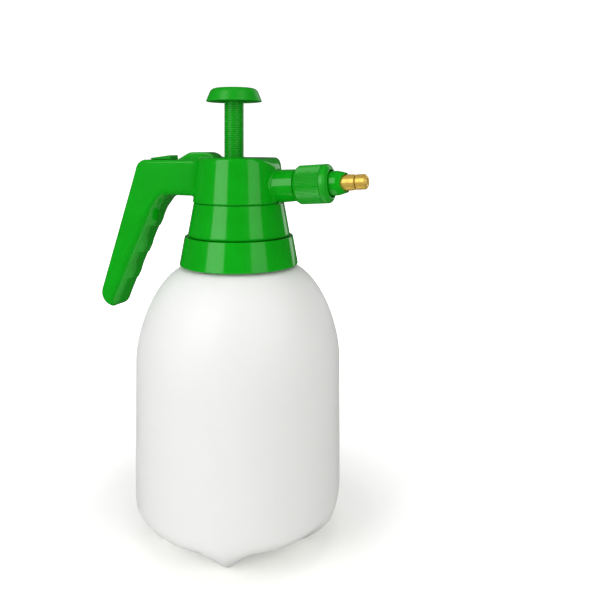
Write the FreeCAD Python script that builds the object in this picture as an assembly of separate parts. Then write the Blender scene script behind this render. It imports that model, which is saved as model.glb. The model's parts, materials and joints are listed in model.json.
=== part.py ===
import FreeCAD, Part
import math
import os

# Hand pump sprayer, two litre class.  Millimetres.
# The origin is on the floor under the middle of the whole sprayer.  +Z is up, +X is the way the spray
# goes, and the handle reaches back along -X.  Shapes are drawn about the bottle's axis, and the export
# moves them forward by BOTTLE_AXIS_X.

Vector = FreeCAD.Vector

# ---- driving dimensions -------------------------------------------------------------------------
BOTTLE_AXIS_X = 8.59     # the handle reaches further than the nozzle, so the bottle stands forward
BOTTLE_R = 69.0          # straight wall of the bottle
BOTTLE_WALL = 1.6
SHOULDER_Z = 118.2       # where the straight wall ends
SHOULDER_RISE = 62.4     # from there to the crown of the shoulder's curve
CROWN_R = 29.5           # radius where that curve would be level
NECK_R = 31.5            # outside of the neck, under its thread
NECK_TOP_Z = 192.4
HEAD_TOP_Z = 252.7
KNOB_TOP_Z = 300.8
PLUNGER_X = -4.0         # the pump stands a little behind the bottle's axis
VALVE_X = -20.6          # valve, dip tube and strainer share this upright axis
SPOUT_TILT = 4.0         # degrees, upwards
SPOUT_ORIGIN_Z = 231.6   # height of the spout's axis over the origin

# ---- fits ---------------------------------------------------------------------------------------
RUNNING = 0.06           # radial clearance of a part that turns or slides in another
LOOSE = 0.3              # clearance between parts that never touch

# ---- screw threads ------------------------------------------------------------------------------
NECK_PITCH = 4.0
NECK_THREAD_R = 33.1
SPOUT_PITCH = 2.5
SPOUT_THREAD_R = 9.7

# ---- bottle -------------------------------------------------------------------------------------
FOOT_COUNT = 5
FOOT_FIRST = -71.0       # azimuth of the first foot, degrees
FOOT_R = 44.5            # the feet stand on this circle
FOOT_PAD = 3.0           # half-width of the flat that each foot rests on
FOOT_SINK = 0.5          # a foot is drawn this much too deep, and cut off flat at the floor
FOOT_DEEP = 17.0         # a foot spreads this far along the radius ...
FOOT_WIDE = 20.0         # ... and this far to each side, over this height:
FOOT_RISE = 12.0
FOOT_FADE_DEEP = 23.5    # above that it steepens, and fades into the wall this far out ...
FOOT_FADE_RISE = 26.0    # ... at this height
BOWL_Z = 6.8             # lowest height of the bowl between the feet
CORNER_R = 35.0          # the bowl's rounded corner, across ...
CORNER_RISE = 25.0       # ... and up
MOUTH_R = 29.3
THREAD_LOW_Z = 181.6

# ---- lock ring ----------------------------------------------------------------------------------
RING_LOW_Z = 180.1
RING_LOW_R = 40.5
RING_TOP_Z = 199.3
RING_TOP_R = 37.05
RING_BORE_R = 34.0
RING_LIP_LOW_Z = 196.9
RING_THREAD_R = 32.1     # crest of the thread inside the ring
LIP_R = 30.28
SKIRT = 2.3

# ---- pump head ----------------------------------------------------------------------------------
FLANGE_R = 33.6
FLANGE_LOW_Z = 194.3
FLANGE_TOP_Z = 196.6
SPIGOT_TOP_Z = 205.2     # top of the collar that the head sits on
CONE_LOW_Z = 199.45
CONE_LOW_R = 35.1
CONE_TOP_Z = 222.0
CONE_TOP_R = 31.0
HOUSING_LOW_Z = 222.5
HOUSING_LOW_R = 31.6
HOUSING_TOP_R = 28.2
HOUSING_WALL = 2.4
SPIGOT_R = 28.4
BUSH_R = 7.9

# ---- handle -------------------------------------------------------------------------------------
ARM_TOP_Z = 251.0
ARM_LOW_Z = 226.0
HANDLE_HALF = 12.0       # half the thickness of arm and grip
HANDLE_EDGE = 4.5        # rounding of the handle's long edges
GRIP_LOW_Z = 143.6
FINGER_STEP = Vector(-9.65, 0, -19.65)   # from one finger ridge to the next

# ---- pump ---------------------------------------------------------------------------------------
CYLINDER_BORE = 12.0
CYLINDER_OUT = 13.2
CYLINDER_LOW_Z = 143.0
CYLINDER_FLOOR = 2.5
VALVE_STEM_R = 1.6       # stem of the rubber check valve
ROD_R = 6.75
ROD_CORE_R = 6.4
RIB_PITCH = 1.3
PISTON_LOW_Z = 184.0
PISTON_TOP_Z = 195.6
PISTON_BORE = 4.0
GROOVE_R = 9.2           # floor of the groove for the piston's seal
GROOVE_LOW_Z = 188.0
GROOVE_TOP_Z = 191.6
KNOB_RIM_Z = 291.3
KNOB_R = 19.4

# ---- trigger and valve --------------------------------------------------------------------------
PIVOT_X = -16.0
PIVOT_Z = 245.5
PIN_R = 1.5
HINGE_HALF = 10.0        # half the length of the hole for the lever's pin
POCKET_HALF = 6.7
POCKET_FLOOR_Z = 238.6
POCKET_BACK_X = -49.6
SLOT_FLOOR_Z = 246.9
SLOT_BACK_X = -69.0
TONGUE_HALF = 4.0
LOCK_HALF = 5.4
LEVER_HALF = 6.4
VALVE_LOW_Z = 203.0
VALVE_TOP_Z = 238.0
PIN_TOP_Z = 242.85
VALVE_OUT = 5.5
VALVE_BORE = 3.6
SEAT_Z = 224.0
DIP_OUT = 3.0
DIP_BORE = 2.0
DIP_LOW_Z = 17.0
DIP_TOP_Z = 209.0        # the tube is pushed into the valve body up to here
CHAMBER_FLOOR_Z = 211.0  # the spring stands here
SEAL_R = 3.2
SEAL_LOW_Z = 233.0
SEAL_TOP_Z = 235.0
WASHER_Z = 222.3         # underside of the washer, on the pin's flange
PIN_FOOT_Z = 220.8

# ---- nozzle, measured along the spout's axis ----------------------------------------------------
SPOUT_END = 57.0
SPOUT_BORE = 2.4
SPOUT_NECK_R = 8.9       # under the spout's thread
SPOUT_ROOT_R = 11.0      # where it leaves the drum
WASHER = 1.2
SPOUT_THREAD_AT = 46.6
NUT_REAR = 44.4
NUT_FRONT = 67.8
GROOVE_AT = 62.4
NUT_R = 12.9
NUT_BORE = 10.2
KNURL_RIBS = 84
FLANGE_FRONT = 60.0
BARREL_R = 8.0
BARREL_FRONT = 78.6
SLEEVE_STEP = 73.6       # shoulder inside the barrel that the stem is pressed against
SHANK_R = 4.2            # rear of the stem, pressed in the barrel
STEM_R = 5.4
TIP_REAR = 84.8
TIP_FRONT = 92.0
TIP_R = 5.0
TIP_BORE = 4.3           # rear bore of the tip, where its seal sits
TIP_SPIGOT_R = 3.6       # front of the stem, where the tip turns
CORE_R = 1.8             # swirl insert
CORE_REAR = 86.4
CORE_FRONT = 89.2
STEM_BORE = 1.2
SPRAY_HOLE_R = 0.5


# ---- drawing helpers ----------------------------------------------------------------------------
def rounded_wire(corners):
    """Closed outline in the XZ plane from (x, z, radius) corners."""
    points = [Vector(x, 0, z) for x, z, radius in corners]
    count = len(points)
    pieces = []
    for i in range(count):
        here = points[i]
        back = points[i - 1] - here
        ahead = points[(i + 1) % count] - here
        radius = corners[i][2]
        if radius == 0:
            pieces.append((here, None, here))
            continue
        half = back.getAngle(ahead) / 2
        reach = radius / math.tan(half)
        start = here + Vector(back).normalize() * reach
        end = here + Vector(ahead).normalize() * reach
        inward = (Vector(back).normalize() + Vector(ahead).normalize()).normalize()
        middle = here + inward * (radius / math.sin(half) - radius)
        pieces.append((start, middle, end))
    edges = []
    for i in range(count):
        start, middle, end = pieces[i]
        if middle is not None:
            edges.append(Part.Arc(start, middle, end).toShape())
        following = pieces[(i + 1) % count][0]
        if end.distanceToPoint(following) > 1e-6:
            edges.append(Part.LineSegment(end, following).toShape())
    return Part.Wire(edges)


def turned(corners, x=0.0):
    """Solid of revolution about an upright axis at x, from (radius, z, rounding) corners."""
    full = [corner if len(corner) == 3 else corner + (0,) for corner in corners]
    solid = Part.Face(rounded_wire(full)).revolve(Vector(0, 0, 0), Vector(0, 0, 1), 360)
    solid.translate(Vector(x, 0, 0))
    return solid


def slab(corners, half):
    """Solid of even thickness about the XZ plane, from (x, z, rounding) corners."""
    full = [corner if len(corner) == 3 else corner + (0,) for corner in corners]
    face = Part.Face(rounded_wire(full))
    face.translate(Vector(0, -half, 0))
    return face.extrude(Vector(0, 2 * half, 0))


def tube(outer, inner, low, high, x=0.0):
    return turned([(inner, low), (outer, low), (outer, high), (inner, high)], x)


def rod(radius, low, high, x=0.0):
    return Part.makeCylinder(radius, high - low, Vector(x, 0, low))


def cross_rod(radius, half, x, z):
    """Cylinder lying across the object, along Y."""
    return Part.makeCylinder(radius, 2 * half, Vector(x, -half, z), Vector(0, 1, 0))


def thread(root, crest, pitch, low, turns, base, tip):
    """Helical ridge from the root radius to the crest radius; works outwards and inwards."""
    helix = Part.makeHelix(pitch, pitch * turns, root)
    middle = low + base / 2
    profile = Part.makePolygon([
        Vector(root, 0, -base / 2),
        Vector(crest, 0, -tip / 2),
        Vector(crest, 0, tip / 2),
        Vector(root, 0, base / 2),
        Vector(root, 0, -base / 2),
    ])
    ridge = Part.Wire(helix).makePipeShell([profile], True, True)
    ridge.translate(Vector(0, 0, middle))
    return ridge


def on_spout(shape):
    """Moves a shape built about +Z from the origin onto the tilted spout axis."""
    placed = shape.copy()
    turn = FreeCAD.Rotation(Vector(0, 1, 0), 90 - SPOUT_TILT)
    placed.Placement = FreeCAD.Placement(Vector(0, 0, SPOUT_ORIGIN_Z), turn).multiply(shape.Placement)
    return placed


def finish(shape):
    """One clean solid, without the seams that joining leaves."""
    clean = shape.removeSplitter()
    if not clean.isValid():
        clean = shape
    if clean.ShapeType != "Solid" and len(clean.Solids) == 1:
        clean = clean.Solids[0]
    return clean


# ---- bottle -------------------------------------------------------------------------------------
def shoulder_curve(inset):
    """Superellipse from the wall to the neck, set in by the wall thickness."""
    fullness = 1.22
    points = []
    for step in range(12):
        t = math.radians(7 * step)
        radius = CROWN_R - inset + (BOTTLE_R - CROWN_R) * math.cos(t)
        height = SHOULDER_Z + (SHOULDER_RISE - inset) * math.sin(t) ** fullness
        points.append(Vector(radius, 0, height))
    curve = Part.BSplineCurve()
    curve.interpolate(points)
    return curve.toShape(), points[0], points[-1]


def corner_curve(inset):
    """Superellipse from the floor of the bowl up to the wall."""
    fullness = 1.1
    points = []
    for step in range(9):
        t = math.radians(90 * step / 8)
        across = math.sin(t) ** fullness
        up = 1 - math.cos(t) ** fullness
        radius = BOTTLE_R - CORNER_R + (CORNER_R - inset) * across
        height = BOWL_Z + inset + (CORNER_RISE - inset) * up
        points.append(Vector(radius, 0, height))
    curve = Part.BSplineCurve()
    curve.interpolate(Points=points, InitialTangent=Vector(1, 0, 0), FinalTangent=Vector(0, 0, 1))
    return curve.toShape(), points[0], points[-1]


def bottle_skin(inset):
    """Round body of the bottle without its feet, set in by the wall thickness."""
    corner, corner_low, corner_high = corner_curve(inset)
    shoulder, shoulder_low, shoulder_high = shoulder_curve(inset)
    neck = NECK_R if inset == 0 else MOUTH_R
    neck_foot = Vector(neck, 0, shoulder_high.z + 0.6)
    mouth = Vector(neck, 0, NECK_TOP_Z if inset == 0 else NECK_TOP_Z + 1)
    top = Vector(0, 0, mouth.z)
    arch = Vector(0, 0, BOWL_Z + 2 + inset)
    edges = [
        Part.LineSegment(arch, corner_low).toShape(),
        corner,
        Part.LineSegment(corner_high, shoulder_low).toShape(),
        shoulder,
        Part.LineSegment(shoulder_high, neck_foot).toShape(),
        Part.LineSegment(neck_foot, mouth).toShape(),
        Part.LineSegment(mouth, top).toShape(),
        Part.LineSegment(top, arch).toShape(),
    ]
    return Part.Face(Part.Wire(edges)).revolve(Vector(0, 0, 0), Vector(0, 0, 1), 360)


def feet(inset):
    """Blunt cones, wider than deep, that grow out of the bowl."""
    cones = []
    for i in range(FOOT_COUNT):
        cone = foot_cone(inset)
        cone.rotate(Vector(0, 0, 0), Vector(0, 0, 1), FOOT_FIRST + i * 360.0 / FOOT_COUNT)
        cones.append(cone)
    return cones


def foot_cone(inset):
    """One foot on the +X side: a blunt cone with a steeper cone over it, squeezed along the radius."""
    squeeze = FOOT_DEEP / FOOT_WIDE
    low = inset if inset else -FOOT_SINK
    pad = FOOT_PAD - inset / 2 if inset else FOOT_PAD - FOOT_SINK
    wide = FOOT_WIDE - inset
    fade = FOOT_FADE_DEEP / squeeze - inset
    blunt = Part.makeCone(pad, wide, FOOT_RISE)
    steep = Part.makeCone(wide, fade, FOOT_FADE_RISE - FOOT_RISE, Vector(0, 0, FOOT_RISE))
    shape = FreeCAD.Matrix()
    shape.A11 = squeeze
    foot = blunt.fuse(steep).transformGeometry(shape)
    foot.translate(Vector(FOOT_R, 0, low))
    return foot


def bottle():
    outside = bottle_skin(0).fuse(feet(0))
    inside = bottle_skin(BOTTLE_WALL).fuse(feet(BOTTLE_WALL))
    screw = thread(NECK_R - 0.3, NECK_THREAD_R, NECK_PITCH, THREAD_LOW_Z, 2, 2.0, 1.0)
    under_floor = Part.makeBox(4 * BOTTLE_R, 4 * BOTTLE_R, FOOT_SINK + 1)
    under_floor.translate(Vector(-2 * BOTTLE_R, -2 * BOTTLE_R, -FOOT_SINK - 1))
    return finish(outside.fuse(screw).cut(inside).cut(under_floor))


# ---- lock ring ----------------------------------------------------------------------------------
def lock_ring():
    slope = (RING_LOW_R - RING_TOP_R) / (RING_TOP_Z - RING_LOW_Z)
    bridge_z = RING_LIP_LOW_Z - SKIRT
    bridge_r = RING_LOW_R - SKIRT - slope * (bridge_z - RING_LOW_Z)
    sleeve_r = RING_BORE_R + SKIRT - 0.2
    body = turned([
        (RING_BORE_R, RING_LOW_Z + 1.5),
        (sleeve_r, RING_LOW_Z + 1.5),
        (sleeve_r, bridge_z),
        (bridge_r, bridge_z),
        (RING_LOW_R - SKIRT, RING_LOW_Z, 0.5),
        (RING_LOW_R, RING_LOW_Z, 0.5),
        (RING_TOP_R, RING_TOP_Z, 0.4),
        (LIP_R, RING_TOP_Z),
        (LIP_R, RING_LIP_LOW_Z),
        (RING_BORE_R, RING_LIP_LOW_Z),
    ])
    screw = thread(RING_BORE_R + 0.3, RING_THREAD_R, NECK_PITCH, THREAD_LOW_Z + 2.1, 2, 1.8, 0.9)
    return finish(body.fuse(screw))


# ---- pump head ----------------------------------------------------------------------------------
def neck_gasket():
    return tube(RING_THREAD_R - LOOSE, MOUTH_R + 0.2, NECK_TOP_Z, FLANGE_LOW_Z)


def pump_cylinder():
    """Barrel of the pump with the flange that the lock ring clamps on the neck."""
    flange = turned([
        (0, FLANGE_LOW_Z),
        (FLANGE_R, FLANGE_LOW_Z),
        (FLANGE_R, FLANGE_TOP_Z),
        (LIP_R - RUNNING, FLANGE_TOP_Z),
        (LIP_R - RUNNING, SPIGOT_TOP_Z),
        (LIP_R - 2.6, SPIGOT_TOP_Z),
        (LIP_R - 2.6, FLANGE_TOP_Z),
        (0, FLANGE_TOP_Z),
    ])
    barrel = rod(CYLINDER_OUT, CYLINDER_LOW_Z, FLANGE_TOP_Z, PLUNGER_X)
    vent_r = 1.4
    vent_circle = 5.5
    below = CYLINDER_LOW_Z - 1
    above = CYLINDER_LOW_Z + CYLINDER_FLOOR + 1
    bore = rod(CYLINDER_BORE, CYLINDER_LOW_Z + CYLINDER_FLOOR, FLANGE_TOP_Z + 1, PLUNGER_X)
    cuts = [bore, rod(VALVE_STEM_R, below, above, PLUNGER_X)]
    for quarter in range(4):
        angle = math.radians(45 + 90 * quarter)
        vent = rod(vent_r, below, above, PLUNGER_X)
        vent.translate(Vector(vent_circle * math.cos(angle), vent_circle * math.sin(angle), 0))
        cuts.append(vent)
    cuts.append(rod(DIP_OUT + LOOSE, FLANGE_LOW_Z - 1, FLANGE_TOP_Z + 1, VALVE_X))
    return finish(flange.fuse(barrel).cut(cuts))


def cylinder_cap():
    """Ring that closes the barrel over the piston and lets air in round the rod."""
    return tube(CYLINDER_BORE + 1.0, ROD_R + 0.5, FLANGE_TOP_Z, FLANGE_TOP_Z + 2.4, PLUNGER_X)


def check_valve():
    """Rubber umbrella under the barrel: air goes down through the vents and can't come back."""
    low = CYLINDER_LOW_Z
    return turned([
        (0, low - 1.8),
        (8.2, low - 0.9, 0.3),
        (8.2, low),
        (VALVE_STEM_R, low),
        (VALVE_STEM_R, low + CYLINDER_FLOOR),
        (VALVE_STEM_R + 0.5, low + CYLINDER_FLOOR),
        (VALVE_STEM_R - 0.4, low + CYLINDER_FLOOR + 0.8),
        (0, low + CYLINDER_FLOOR + 0.8),
    ], PLUNGER_X)


def head_base():
    slope = (CONE_LOW_R - CONE_TOP_R) / (CONE_TOP_Z - CONE_LOW_Z)
    seam_r = CONE_TOP_R - 1.1
    return turned([
        (LIP_R - RUNNING, CONE_LOW_Z),
        (CONE_LOW_R - slope * 0.2, CONE_LOW_Z, 1.4),
        (CONE_TOP_R, CONE_TOP_Z, 0.5),
        (seam_r, CONE_TOP_Z),
        (seam_r, HOUSING_LOW_Z),
        (SPIGOT_R, HOUSING_LOW_Z),
        (SPIGOT_R, HOUSING_LOW_Z + 2.2, 0.4),
        (SPIGOT_R - 2.0, HOUSING_LOW_Z + 2.2),
        (SPIGOT_R - 2.0, HOUSING_LOW_Z - 2.0),
        (LIP_R + 0.6, SPIGOT_TOP_Z + 3.4),
        (LIP_R + 0.6, SPIGOT_TOP_Z),
        (LIP_R - RUNNING, SPIGOT_TOP_Z),
    ])


def housing_radius(z):
    share = (z - HOUSING_LOW_Z) / (HEAD_TOP_Z - HOUSING_LOW_Z)
    return HOUSING_LOW_R + (HOUSING_TOP_R - HOUSING_LOW_R) * share


def housing_dome():
    """Outer tapered drum of the head, its top edge rounded off over the spout."""
    drum = turned([
        (0, HOUSING_LOW_Z),
        (HOUSING_LOW_R, HOUSING_LOW_Z, 0.5),
        (HOUSING_TOP_R + 0.3, HEAD_TOP_Z, 2.6),
        (0, HEAD_TOP_Z),
    ])
    brow = 11.0
    edge_x = housing_radius(HEAD_TOP_Z - brow)
    round_off = slab([
        (edge_x - brow, HEAD_TOP_Z),
        (edge_x - brow, HEAD_TOP_Z + 2),
        (edge_x + 4, HEAD_TOP_Z + 2),
        (edge_x + 4, HEAD_TOP_Z - brow),
        (edge_x, HEAD_TOP_Z - brow),
    ], 40).cut(cross_rod(brow, 41, edge_x - brow, HEAD_TOP_Z - brow))
    return drum.cut(round_off)


def handle():
    """Arm and grip with rounded edges, and four finger waves on the inside of the grip."""
    lean = 0.3368
    corner_x = -76.4
    foot_x = corner_x - (ARM_TOP_Z - GRIP_LOW_Z) * lean
    ridge = Vector(-66.7, 0, 202.7)
    last_x = ridge.x + FINGER_STEP.x * 3
    last_z = ridge.z + FINGER_STEP.z * 3
    body = slab([
        (-20, ARM_LOW_Z, 0),
        (-20, ARM_TOP_Z, 0),
        (corner_x, ARM_TOP_Z, 9.0),
        (foot_x, GRIP_LOW_Z, 8.6),
        (last_x - 0.4, GRIP_LOW_Z, 7.0),
        (ridge.x + 11.4, ARM_LOW_Z, 12.0),
    ], HANDLE_HALF)
    sharp = []
    for edge in body.Edges:
        centre = edge.CenterOfMass
        on_side = abs(abs(centre.y) - HANDLE_HALF) < 0.01
        if on_side and centre.x < -20.5:
            sharp.append(edge)
    body = body.makeFillet(HANDLE_EDGE, sharp)
    waves = []
    for i in range(4):
        start = ridge + FINGER_STEP * (i - 1)
        end = start + FINGER_STEP
        notch = Vector(-2.4, 0, -0.7)
        outward = Vector(8, 0, 3)
        meet = start + FINGER_STEP * 0.66
        waves.append(slab([
            (start.x + notch.x, start.z + notch.z, 0.4),
            (meet.x, meet.z, 12.0),
            (end.x + 0.2, end.z, 0),
            (end.x + outward.x, end.z + outward.z, 0),
            (start.x + outward.x, start.z + outward.z, 0),
            (start.x, start.z, 0),
        ], HANDLE_HALF + 1))
    return body, waves


def spout():
    return on_spout(turned([
        (0, 27),
        (SPOUT_ROOT_R, 27),
        (SPOUT_ROOT_R, 32),
        (SPOUT_ROOT_R - 0.4, NUT_REAR - 0.7, 0.4),
        (SPOUT_NECK_R + 0.3, NUT_REAR - 0.4),
        (SPOUT_NECK_R, NUT_REAR + 3),
        (SPOUT_NECK_R, SPOUT_END, 0.3),
        (0, SPOUT_END),
    ]))


def head_housing():
    """Drum, spout, arm and grip: one moulding with a hollow drum."""
    wall = HOUSING_WALL
    ceiling = HEAD_TOP_Z - 2.6
    hollow = turned([
        (0, HOUSING_LOW_Z - 1),
        (SPIGOT_R, HOUSING_LOW_Z - 1),
        (SPIGOT_R, HOUSING_LOW_Z + 4),
        (housing_radius(ceiling) - wall, ceiling, 3.0),
        (0, ceiling),
    ])
    grip, waves = handle()
    cheeks = slab([
        (PIVOT_X + 4.4, POCKET_FLOOR_Z - 5.6, 1.0),
        (PIVOT_X + 4.4, ceiling + 1),
        (-34, ceiling + 1),
        (-34, POCKET_FLOOR_Z - 5.6),
    ], 11)
    collar = rod(BUSH_R + 2, 242, ceiling + 1, PLUNGER_X)
    spout_root = on_spout(rod(8.0, 24, 32))
    cavity = hollow.cut([cheeks, collar, spout_root])
    body = housing_dome().fuse(grip.cut(waves)).fuse(spout()).cut(cavity)
    ridge = thread(SPOUT_NECK_R - 0.2, SPOUT_THREAD_R, SPOUT_PITCH, SPOUT_THREAD_AT, 3, 1.2, 0.6)
    body = body.fuse(on_spout(ridge))
    recess = tube(BUSH_R + 1.7, BUSH_R, HEAD_TOP_Z - 1.2, HEAD_TOP_Z + 1, PLUNGER_X)
    cuts = [
        rod(BUSH_R, 240, HEAD_TOP_Z + 1, PLUNGER_X),
        recess,
        rod(VALVE_OUT, HOUSING_LOW_Z - 1, VALVE_TOP_Z, VALVE_X),
        rod(PIN_R + 0.4, VALVE_TOP_Z - 1, POCKET_FLOOR_Z + 1, VALVE_X),
        lever_pocket(),
        slide_slot(),
        cross_rod(PIN_R, HINGE_HALF, PIVOT_X, PIVOT_Z),
        on_spout(rod(SPOUT_BORE, 20, SPOUT_END + 1)),
    ]
    for cutter in cuts:
        body = body.cut(cutter)
    return body.Solids[0]


def lever_pocket():
    return slab([
        (PIVOT_X + 3.6, POCKET_FLOOR_Z),
        (PIVOT_X + 3.6, HEAD_TOP_Z + 2),
        (POCKET_BACK_X, HEAD_TOP_Z + 2),
        (POCKET_BACK_X, POCKET_FLOOR_Z),
    ], POCKET_HALF)


def slide_slot():
    return slab([
        (POCKET_BACK_X + 0.6, SLOT_FLOOR_Z),
        (POCKET_BACK_X + 0.6, ARM_TOP_Z + 1),
        (SLOT_BACK_X, ARM_TOP_Z + 1),
        (SLOT_BACK_X, SLOT_FLOOR_Z),
    ], TONGUE_HALF + LOOSE)


def rod_guide():
    """Bush that the pump rod slides in."""
    return turned([
        (ROD_R + RUNNING, 241),
        (BUSH_R, 241, 0.4),
        (BUSH_R, HEAD_TOP_Z + 0.6, 0.3),
        (ROD_R + 0.6, HEAD_TOP_Z + 0.6),
        (ROD_R + RUNNING, HEAD_TOP_Z - 0.4),
    ], PLUNGER_X)


# ---- plunger ------------------------------------------------------------------------------------
def plunger_knob():
    """Hollow mushroom with a boss in the middle that holds the rod."""
    skin = 1.7
    boss_r = 8.4
    boss_low = KNOB_RIM_Z + 1.6
    rod_top = KNOB_TOP_Z - 2.4
    return turned([
        (0, KNOB_TOP_Z),
        (15.7, KNOB_TOP_Z - 0.3, 4.6),
        (KNOB_R, KNOB_RIM_Z, 0.4),
        (KNOB_R - 0.9, KNOB_RIM_Z, 0.3),
        (KNOB_R - 2.4, KNOB_RIM_Z + 2.4, 3.0),
        (13.4, KNOB_TOP_Z - 0.6 - skin, 3.4),
        (boss_r, KNOB_TOP_Z - 0.4 - skin, 0.5),
        (boss_r, boss_low, 0.3),
        (ROD_CORE_R, boss_low),
        (ROD_CORE_R, rod_top),
        (0, rod_top),
    ], PLUNGER_X)


def pump_rod():
    """Ribbed rod from the knob down to the piston."""
    rib_low = 216.0
    rib_high = KNOB_RIM_Z + 1.2
    corners = [
        (0, PISTON_LOW_Z - 1.5),
        (PISTON_BORE + 1.0, PISTON_LOW_Z - 1.5),
        (PISTON_BORE + 0.6, PISTON_LOW_Z),
        (PISTON_BORE, PISTON_LOW_Z),
        (PISTON_BORE, PISTON_TOP_Z),
        (ROD_CORE_R, PISTON_TOP_Z),
    ]
    ribs = int((rib_high - rib_low) / RIB_PITCH)
    for i in range(ribs):
        z = rib_low + i * RIB_PITCH
        corners += [(ROD_CORE_R, z), (ROD_R, z + 0.3), (ROD_R, z + 0.9), (ROD_CORE_R, z + 1.2)]
    corners += [(ROD_CORE_R, KNOB_TOP_Z - 2.4), (0, KNOB_TOP_Z - 2.4)]
    return turned(corners, PLUNGER_X)


def piston():
    land = CYLINDER_BORE - 0.5
    return turned([
        (PISTON_BORE, PISTON_LOW_Z),
        (land, PISTON_LOW_Z, 0.6),
        (land, GROOVE_LOW_Z),
        (GROOVE_R, GROOVE_LOW_Z),
        (GROOVE_R, GROOVE_TOP_Z),
        (land, GROOVE_TOP_Z),
        (land, PISTON_TOP_Z, 0.6),
        (PISTON_BORE, PISTON_TOP_Z),
    ], PLUNGER_X)


def piston_seal():
    rim = CYLINDER_BORE - RUNNING
    return turned([
        (GROOVE_R, GROOVE_LOW_Z + 0.2),
        (rim, GROOVE_LOW_Z + 0.2, 0.4),
        (rim, GROOVE_TOP_Z - 0.2, 0.4),
        (GROOVE_R, GROOVE_TOP_Z - 0.2),
    ], PLUNGER_X)


# ---- trigger, lock and valve --------------------------------------------------------------------
def trigger_lever():
    """Thumb lever: pivots in front, presses the valve pin, and ends in a lip for the lock."""
    body = slab([
        (-13.3, PIVOT_Z - 2.6, 2.5),
        (-13.3, 250.6, 2.5),
        (-20.0, 256.5, 11.0),
        (-36.0, 256.4, 9.0),
        (-45.8, 251.3, 2.0),
        (-48.6, 250.9, 0.3),
        (-48.6, 249.7, 0),
        (-45.4, 249.7, 0.4),
        (-45.4, 243.05, 0.6),
    ], LEVER_HALF)
    hollow = slab([
        (-28, POCKET_FLOOR_Z),
        (-28, 249.5),
        (-43.6, 249.5),
        (-43.6, POCKET_FLOOR_Z),
    ], LEVER_HALF - 1.6)
    hole = cross_rod(PIN_R + RUNNING, HINGE_HALF, PIVOT_X, PIVOT_Z)
    return finish(body.cut([hollow, hole]))


def trigger_pin():
    return cross_rod(PIN_R, HINGE_HALF - 0.2, PIVOT_X, PIVOT_Z)


def lock_slide():
    """Wedge on the arm: pushed forward, its tongue goes under the lever's lip."""
    front_x = -52.6
    front_z = 254.3
    back_x = -69.0
    back_z = 252.2
    fall = (front_z - back_z) / (front_x - back_x)
    wedge = slab([
        (front_x + 0.3, ARM_TOP_Z + 0.1, 0),
        (front_x, front_z, 0.8),
        (back_x, back_z, 0.6),
        (back_x - 0.2, ARM_TOP_Z + 0.1, 0),
    ], LOCK_HALF)
    tongue_low = SLOT_FLOOR_Z + LOOSE
    tongue_top = tongue_low + 2.2
    tongue = slab([
        (POCKET_BACK_X + 0.1, tongue_low),
        (POCKET_BACK_X + 0.1, tongue_top),
        (front_x + 0.1, tongue_top),
        (front_x + 0.1, ARM_TOP_Z + 0.2),
        (back_x + 0.8, ARM_TOP_Z + 0.2),
        (back_x + 0.8, tongue_low),
    ], TONGUE_HALF)
    grooves = []
    for i in range(6):
        x = front_x - 2.0 - 2.4 * i
        z = front_z + (x - front_x) * fall
        grooves.append(cross_rod(0.6, LOCK_HALF + 1, x, z + 0.15))
    return finish(wedge.cut(grooves).fuse(tongue))


def valve_body():
    """Valve chamber: dip tube below, seat in the middle, hose barb at the side."""
    body = turned([
        (DIP_OUT, VALVE_LOW_Z),
        (VALVE_OUT, VALVE_LOW_Z, 0.4),
        (VALVE_OUT, VALVE_TOP_Z),
        (PIN_R + RUNNING, VALVE_TOP_Z),
        (PIN_R + RUNNING, SEAL_TOP_Z),
        (SEAL_R, SEAL_TOP_Z),
        (SEAL_R, SEAL_LOW_Z),
        (VALVE_BORE, SEAL_LOW_Z),
        (VALVE_BORE, SEAT_Z + 2),
        (2.3, SEAT_Z + 2),
        (2.3, SEAT_Z),
        (VALVE_BORE, SEAT_Z),
        (VALVE_BORE, CHAMBER_FLOOR_Z),
        (DIP_BORE, CHAMBER_FLOOR_Z),
        (DIP_BORE, DIP_TOP_Z),
        (DIP_OUT, DIP_TOP_Z),
    ], VALVE_X)
    base, way = port_line()
    barb = Part.makeCylinder(1.9, 5.5, base, way)
    bore = Part.makeCylinder(1.1, 8, base - way * 2, way)
    return finish(body.fuse(barb).cut(bore))


def port_line():
    """Where the side port leaves the valve body, and its direction."""
    way = Vector(math.cos(math.radians(60)), math.sin(math.radians(60)), 0)
    base = Vector(VALVE_X, 0, SEAT_Z + 5.5) + way * (VALVE_OUT - 0.8)
    return base, way


def pin_seal():
    return tube(SEAL_R, PIN_R + RUNNING, SEAL_LOW_Z + 0.1, SEAL_TOP_Z - 0.1, VALVE_X)


def valve_pin():
    """Pin with the flange that carries the sealing washer; the trigger pushes it down."""
    return turned([
        (0, PIN_FOOT_Z),
        (SEAL_R, PIN_FOOT_Z),
        (SEAL_R, WASHER_Z),
        (PIN_R, WASHER_Z),
        (PIN_R, PIN_TOP_Z, 0.5),
        (0, PIN_TOP_Z),
    ], VALVE_X)


def valve_washer():
    return tube(SEAL_R, PIN_R, WASHER_Z, SEAT_Z, VALVE_X)


def valve_spring():
    """Compression spring between the chamber floor and the pin's flange, ends ground flat."""
    low = CHAMBER_FLOOR_Z
    high = PIN_FOOT_Z
    wire = 0.35
    coil = 2.6
    turns = 6
    helix = Part.makeHelix((high - low) / turns, high - low, coil)
    section = Part.Wire(Part.Circle(Vector(coil, 0, 0), Vector(0, 1, 0), wire).toShape())
    spring = Part.Wire(helix).makePipeShell([section], True, True)
    spring.translate(Vector(VALVE_X, 0, low))
    keep = rod(coil + 1, low, high, VALVE_X)
    return finish(spring.common(keep))


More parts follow.
